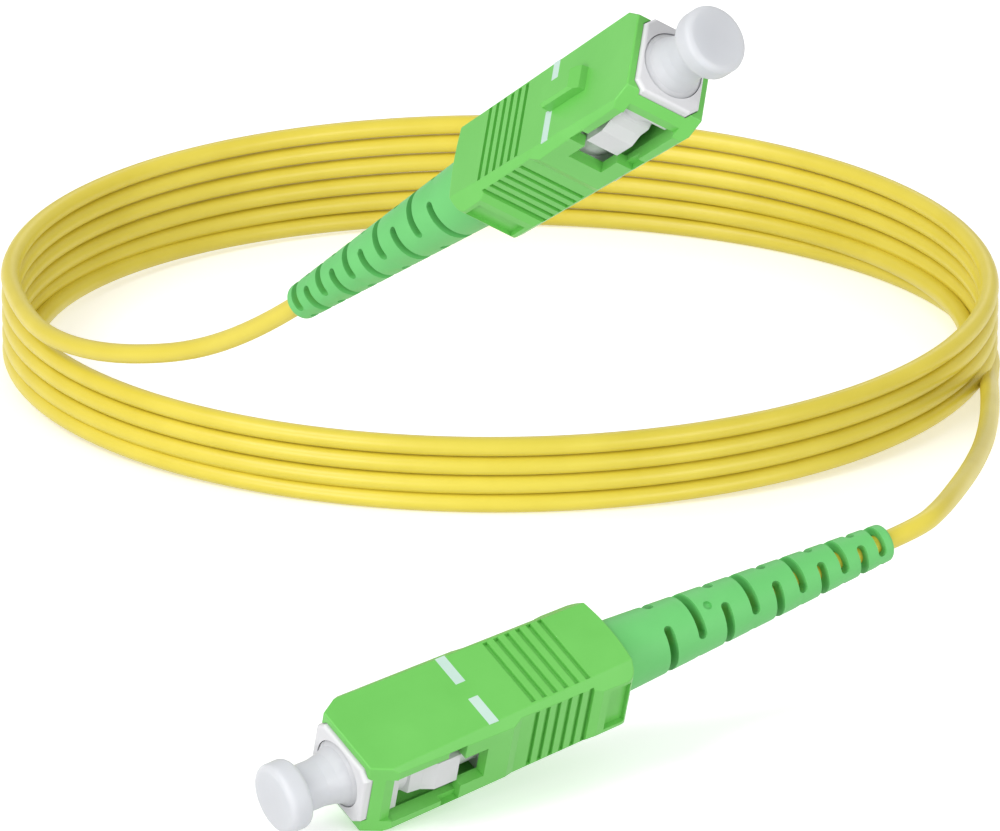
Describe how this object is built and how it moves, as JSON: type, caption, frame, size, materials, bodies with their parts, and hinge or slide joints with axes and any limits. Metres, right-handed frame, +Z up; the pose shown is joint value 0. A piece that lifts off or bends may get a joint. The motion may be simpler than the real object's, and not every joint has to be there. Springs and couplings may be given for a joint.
{
  "type": "fiber optic patch cord",
  "caption": "Simplex fibre patch cord: green keyed push-pull square plugs with dust caps and segmented boots on a thin yellow cable wound in an oval coil.",
  "frame": {"origin": "on the floor under the middle of the two plugs' bounding box", "axes": "+Z up, +Y away from the viewer towards the coil, +X to the right along the coil's long axis"},
  "size_m": [0.0868, 0.1447, 0.0578],
  "materials": {
    "green_housing": "satin moulded green plastic",
    "green_boot": "soft matte green elastomer",
    "white_plastic": "satin white moulded plastic",
    "milky_cap": "translucent milky soft plastic",
    "zirconia": "polished white ceramic",
    "flange_metal": "turned nickel-plated metal",
    "spring_steel": "drawn spring wire",
    "crimp_brass": "crimped brass tube",
    "aramid": "fine yellow yarn",
    "fiber_buffer": "white tight buffer coating",
    "yellow_jacket": "smooth satin yellow cable jacket",
    "mark_ink": "pale printed index mark"
  },
  "bodies": {
    "cord": {"cable_coil": "yellow_jacket", "cable_tail_a": "yellow_jacket", "cable_tail_b": "yellow_jacket", "plug_frame_a": "white_plastic", "stop_ring_a": "flange_metal", "aramid_yarn_a": "aramid", "crimp_sleeve_a": "crimp_brass", "cable_end_a": "yellow_jacket", "boot_a": "green_boot", "buffered_fiber_a": "fiber_buffer", "ferrule_spring_a": "spring_steel", "plug_frame_b": "white_plastic", "stop_ring_b": "flange_metal", "aramid_yarn_b": "aramid", "crimp_sleeve_b": "crimp_brass", "cable_end_b": "yellow_jacket", "boot_b": "green_boot", "buffered_fiber_b": "fiber_buffer", "ferrule_spring_b": "spring_steel"},
    "grip_a": {"grip_housing_a": "green_housing", "index_marks_a": "mark_ink"},
    "ferrule_set_a": {"ferrule_a": "zirconia", "ferrule_flange_a": "flange_metal"},
    "cap_a": {"dust_cap_a": "milky_cap"},
    "grip_b": {"grip_housing_b": "green_housing", "index_marks_b": "mark_ink"},
    "ferrule_set_b": {"ferrule_b": "zirconia", "ferrule_flange_b": "flange_metal"},
    "cap_b": {"dust_cap_b": "milky_cap"}
  },
  "joints": [
    {"name": "grip_slide_a", "type": "slide", "parent": "cord", "child": "grip_a", "axis": [-0.569, 0.574, -0.589], "range_m": [0, 0.002]},
    {"name": "ferrule_float_a", "type": "slide", "parent": "cord", "child": "ferrule_set_a", "axis": [-0.569, 0.574, -0.589], "range_m": [0, 0.0015], "stiffness_N_per_m": 1200, "deforming": ["ferrule_spring_a"]},
    {"name": "dust_cap_pull_a", "type": "slide", "parent": "ferrule_set_a", "child": "cap_a", "axis": [0.569, -0.574, 0.589], "range_m": [0, 0.008]},
    {"name": "grip_slide_b", "type": "slide", "parent": "cord", "child": "grip_b", "axis": [0.8205, 0.5526, 0.1465], "range_m": [0, 0.002]},
    {"name": "ferrule_float_b", "type": "slide", "parent": "cord", "child": "ferrule_set_b", "axis": [0.8205, 0.5526, 0.1465], "range_m": [0, 0.0015], "stiffness_N_per_m": 1200, "deforming": ["ferrule_spring_b"]},
    {"name": "dust_cap_pull_b", "type": "slide", "parent": "ferrule_set_b", "child": "cap_b", "axis": [-0.8205, -0.5526, -0.1465], "range_m": [0, 0.008]}
  ]
}
